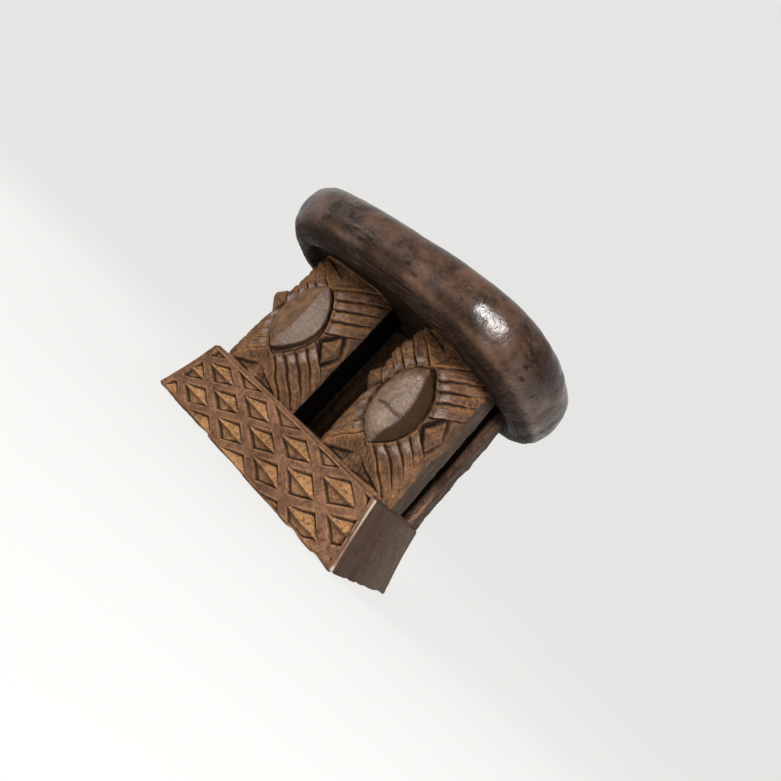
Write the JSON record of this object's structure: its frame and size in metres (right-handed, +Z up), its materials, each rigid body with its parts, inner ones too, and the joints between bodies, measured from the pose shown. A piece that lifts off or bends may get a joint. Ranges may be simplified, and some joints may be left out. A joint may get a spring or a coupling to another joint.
{
  "type": "headrest",
  "caption": "Carved wooden headrest: an oval saddle top with a thick rounded rim, on arched legs with almond bosses, over a flared plinth carved with a diamond lattice.",
  "frame": {"origin": "on the ground, under the middle of the oval top", "axes": "+Z up, +X along the top's long axis, -Y towards the front face that the side gap lies further from"},
  "size_m": [0.2088, 0.1934, 0.1706],
  "materials": {
    "dark_patina_wood": "hand-polished dark patina, satin to glossy on the rim",
    "carved_brown_wood": "dry carved wood, matt in the cuts and rubbed paler on the ridges",
    "rubbed_boss_wood": "rubbed smooth, grey-brown, satin"
  },
  "bodies": {
    "root": {"plinth": "carved_brown_wood", "front_left_leg": "carved_brown_wood", "front_right_leg": "carved_brown_wood", "back_left_leg": "carved_brown_wood", "back_right_leg": "carved_brown_wood", "front_left_boss": "rubbed_boss_wood", "front_right_boss": "rubbed_boss_wood", "back_left_boss": "rubbed_boss_wood", "back_right_boss": "rubbed_boss_wood", "top": "dark_patina_wood"}
  },
  "joints": []
}
